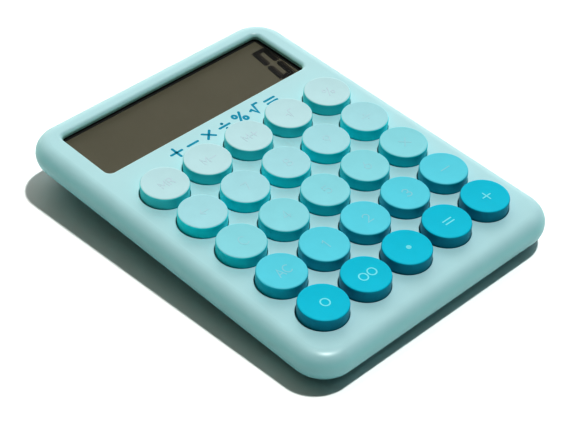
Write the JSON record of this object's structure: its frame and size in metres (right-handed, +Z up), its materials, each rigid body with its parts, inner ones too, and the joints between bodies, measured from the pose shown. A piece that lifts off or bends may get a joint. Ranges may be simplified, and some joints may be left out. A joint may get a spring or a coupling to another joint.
{
  "type": "desk calculator",
  "caption": "Desk calculator with round sprung keys, a wide liquid crystal display set in a leaning satin casing, a battery bay in the rear stand block and rubber feet",
  "frame": {"origin": "middle of the footprint on the desk, at the level of the rubber feet's undersides", "axes": "+Z up, +X to the user's right, +Y away from the user towards the display; the deck leans back by 2.5 degrees about X"},
  "size_m": [0.113, 0.1476, 0.0209],
  "materials": {
    "casing_upper": "satin moulded ABS, pale aqua",
    "casing_lower": "satin moulded ABS, pale aqua",
    "door": "satin moulded ABS, pale aqua",
    "key_row_1": "moulded ABS key, semi-gloss, lighter towards the display",
    "key_row_2": "moulded ABS key, semi-gloss, lighter towards the display",
    "key_row_3": "moulded ABS key, semi-gloss, lighter towards the display",
    "key_row_4": "moulded ABS key, semi-gloss, lighter towards the display",
    "key_row_5": "moulded ABS key, semi-gloss, lighter towards the display",
    "lens": "clear polished acrylic",
    "gasket": "black foam gasket",
    "display_glass": "polarised display glass",
    "reflector": "grey-brown reflective film",
    "holder": "black moulded ABS",
    "zebra": "silicone strip with carbon layers",
    "board": "green solder mask",
    "chip": "black epoxy",
    "capacitor": "ceramic",
    "dome": "translucent silicone rubber",
    "screw": "zinc plated steel",
    "cell": "printed steel can",
    "contact": "nickel plated spring steel",
    "red_wire": "red PVC insulation",
    "black_wire": "black PVC insulation",
    "foot": "dark grey rubber"
  },
  "bodies": {
    "case": {"upper_casing": "casing_upper", "lower_casing": "casing_lower", "display_lens": "lens", "display_gasket": "gasket", "lcd_front_glass": "display_glass", "lcd_rear_glass": "display_glass", "lcd_reflector": "reflector", "display_holder": "holder", "zebra_strip": "zebra", "circuit_board": "board", "driver_chip": "chip", "board_capacitors": "capacitor", "rubber_dome_sheet": "dome", "casing_screws": "screw", "board_screws": "screw", "battery_cell": "cell", "plate_contact": "contact", "spring_contact": "contact", "red_lead": "red_wire", "black_lead": "black_wire", "front_foot_left": "foot", "front_foot_right": "foot", "rear_foot_left": "foot", "rear_foot_right": "foot"},
    "door": {"battery_door": "door"},
    "button_0": {"key_0": "key_row_1"},
    "button_00": {"key_00": "key_row_1"},
    "button_decimal": {"key_decimal": "key_row_1"},
    "button_equals": {"key_equals": "key_row_1"},
    "button_plus": {"key_plus": "key_row_1"},
    "button_all_clear": {"key_all_clear": "key_row_2"},
    "button_1": {"key_1": "key_row_2"},
    "button_2": {"key_2": "key_row_2"},
    "button_3": {"key_3": "key_row_2"},
    "button_minus": {"key_minus": "key_row_2"},
    "button_clear": {"key_clear": "key_row_3"},
    "button_4": {"key_4": "key_row_3"},
    "button_5": {"key_5": "key_row_3"},
    "button_6": {"key_6": "key_row_3"},
    "button_times": {"key_times": "key_row_3"},
    "button_backspace": {"key_backspace": "key_row_4"},
    "button_7": {"key_7": "key_row_4"},
    "button_8": {"key_8": "key_row_4"},
    "button_9": {"key_9": "key_row_4"},
    "button_divide": {"key_divide": "key_row_4"},
    "button_memory_recall": {"key_memory_recall": "key_row_5"},
    "button_memory_minus": {"key_memory_minus": "key_row_5"},
    "button_memory_plus": {"key_memory_plus": "key_row_5"},
    "button_square_root": {"key_square_root": "key_row_5"},
    "button_percent": {"key_percent": "key_row_5"}
  },
  "joints": [
    {"name": "door_slide", "type": "slide", "parent": "case", "child": "door", "axis": [0, -1, 0], "range_m": [0, 0.016]},
    {"name": "press_0", "type": "slide", "parent": "case", "child": "button_0", "axis": [0, 0.0436, -0.999], "range_m": [0, 0.0018], "stiffness_N_per_m": 250, "springref_m": -0.0006, "deforming": ["rubber_dome_sheet"]},
    {"name": "press_00", "type": "slide", "parent": "case", "child": "button_00", "axis": [0, 0.0436, -0.999], "range_m": [0, 0.0018], "stiffness_N_per_m": 250, "springref_m": -0.0006, "deforming": ["rubber_dome_sheet"]},
    {"name": "press_decimal", "type": "slide", "parent": "case", "child": "button_decimal", "axis": [0, 0.0436, -0.999], "range_m": [0, 0.0018], "stiffness_N_per_m": 250, "springref_m": -0.0006, "deforming": ["rubber_dome_sheet"]},
    {"name": "press_equals", "type": "slide", "parent": "case", "child": "button_equals", "axis": [0, 0.0436, -0.999], "range_m": [0, 0.0018], "stiffness_N_per_m": 250, "springref_m": -0.0006, "deforming": ["rubber_dome_sheet"]},
    {"name": "press_plus", "type": "slide", "parent": "case", "child": "button_plus", "axis": [0, 0.0436, -0.999], "range_m": [0, 0.0018], "stiffness_N_per_m": 250, "springref_m": -0.0006, "deforming": ["rubber_dome_sheet"]},
    {"name": "press_all_clear", "type": "slide", "parent": "case", "child": "button_all_clear", "axis": [0, 0.0436, -0.999], "range_m": [0, 0.0018], "stiffness_N_per_m": 250, "springref_m": -0.0006, "deforming": ["rubber_dome_sheet"]},
    {"name": "press_1", "type": "slide", "parent": "case", "child": "button_1", "axis": [0, 0.0436, -0.999], "range_m": [0, 0.0018], "stiffness_N_per_m": 250, "springref_m": -0.0006, "deforming": ["rubber_dome_sheet"]},
    {"name": "press_2", "type": "slide", "parent": "case", "child": "button_2", "axis": [0, 0.0436, -0.999], "range_m": [0, 0.0018], "stiffness_N_per_m": 250, "springref_m": -0.0006, "deforming": ["rubber_dome_sheet"]},
    {"name": "press_3", "type": "slide", "parent": "case", "child": "button_3", "axis": [0, 0.0436, -0.999], "range_m": [0, 0.0018], "stiffness_N_per_m": 250, "springref_m": -0.0006, "deforming": ["rubber_dome_sheet"]},
    {"name": "press_minus", "type": "slide", "parent": "case", "child": "button_minus", "axis": [0, 0.0436, -0.999], "range_m": [0, 0.0018], "stiffness_N_per_m": 250, "springref_m": -0.0006, "deforming": ["rubber_dome_sheet"]},
    {"name": "press_clear", "type": "slide", "parent": "case", "child": "button_clear", "axis": [0, 0.0436, -0.999], "range_m": [0, 0.0018], "stiffness_N_per_m": 250, "springref_m": -0.0006, "deforming": ["rubber_dome_sheet"]},
    {"name": "press_4", "type": "slide", "parent": "case", "child": "button_4", "axis": [0, 0.0436, -0.999], "range_m": [0, 0.0018], "stiffness_N_per_m": 250, "springref_m": -0.0006, "deforming": ["rubber_dome_sheet"]},
    {"name": "press_5", "type": "slide", "parent": "case", "child": "button_5", "axis": [0, 0.0436, -0.999], "range_m": [0, 0.0018], "stiffness_N_per_m": 250, "springref_m": -0.0006, "deforming": ["rubber_dome_sheet"]},
    {"name": "press_6", "type": "slide", "parent": "case", "child": "button_6", "axis": [0, 0.0436, -0.999], "range_m": [0, 0.0018], "stiffness_N_per_m": 250, "springref_m": -0.0006, "deforming": ["rubber_dome_sheet"]},
    {"name": "press_times", "type": "slide", "parent": "case", "child": "button_times", "axis": [0, 0.0436, -0.999], "range_m": [0, 0.0018], "stiffness_N_per_m": 250, "springref_m": -0.0006, "deforming": ["rubber_dome_sheet"]},
    {"name": "press_backspace", "type": "slide", "parent": "case", "child": "button_backspace", "axis": [0, 0.0436, -0.999], "range_m": [0, 0.0018], "stiffness_N_per_m": 250, "springref_m": -0.0006, "deforming": ["rubber_dome_sheet"]},
    {"name": "press_7", "type": "slide", "parent": "case", "child": "button_7", "axis": [0, 0.0436, -0.999], "range_m": [0, 0.0018], "stiffness_N_per_m": 250, "springref_m": -0.0006, "deforming": ["rubber_dome_sheet"]},
    {"name": "press_8", "type": "slide", "parent": "case", "child": "button_8", "axis": [0, 0.0436, -0.999], "range_m": [0, 0.0018], "stiffness_N_per_m": 250, "springref_m": -0.0006, "deforming": ["rubber_dome_sheet"]},
    {"name": "press_9", "type": "slide", "parent": "case", "child": "button_9", "axis": [0, 0.0436, -0.999], "range_m": [0, 0.0018], "stiffness_N_per_m": 250, "springref_m": -0.0006, "deforming": ["rubber_dome_sheet"]},
    {"name": "press_divide", "type": "slide", "parent": "case", "child": "button_divide", "axis": [0, 0.0436, -0.999], "range_m": [0, 0.0018], "stiffness_N_per_m": 250, "springref_m": -0.0006, "deforming": ["rubber_dome_sheet"]},
    {"name": "press_memory_recall", "type": "slide", "parent": "case", "child": "button_memory_recall", "axis": [0, 0.0436, -0.999], "range_m": [0, 0.0018], "stiffness_N_per_m": 250, "springref_m": -0.0006, "deforming": ["rubber_dome_sheet"]},
    {"name": "press_memory_minus", "type": "slide", "parent": "case", "child": "button_memory_minus", "axis": [0, 0.0436, -0.999], "range_m": [0, 0.0018], "stiffness_N_per_m": 250, "springref_m": -0.0006, "deforming": ["rubber_dome_sheet"]},
    {"name": "press_memory_plus", "type": "slide", "parent": "case", "child": "button_memory_plus", "axis": [0, 0.0436, -0.999], "range_m": [0, 0.0018], "stiffness_N_per_m": 250, "springref_m": -0.0006, "deforming": ["rubber_dome_sheet"]},
    {"name": "press_square_root", "type": "slide", "parent": "case", "child": "button_square_root", "axis": [0, 0.0436, -0.999], "range_m": [0, 0.0018], "stiffness_N_per_m": 250, "springref_m": -0.0006, "deforming": ["rubber_dome_sheet"]},
    {"name": "press_percent", "type": "slide", "parent": "case", "child": "button_percent", "axis": [0, 0.0436, -0.999], "range_m": [0, 0.0018], "stiffness_N_per_m": 250, "springref_m": -0.0006, "deforming": ["rubber_dome_sheet"]}
  ]
}
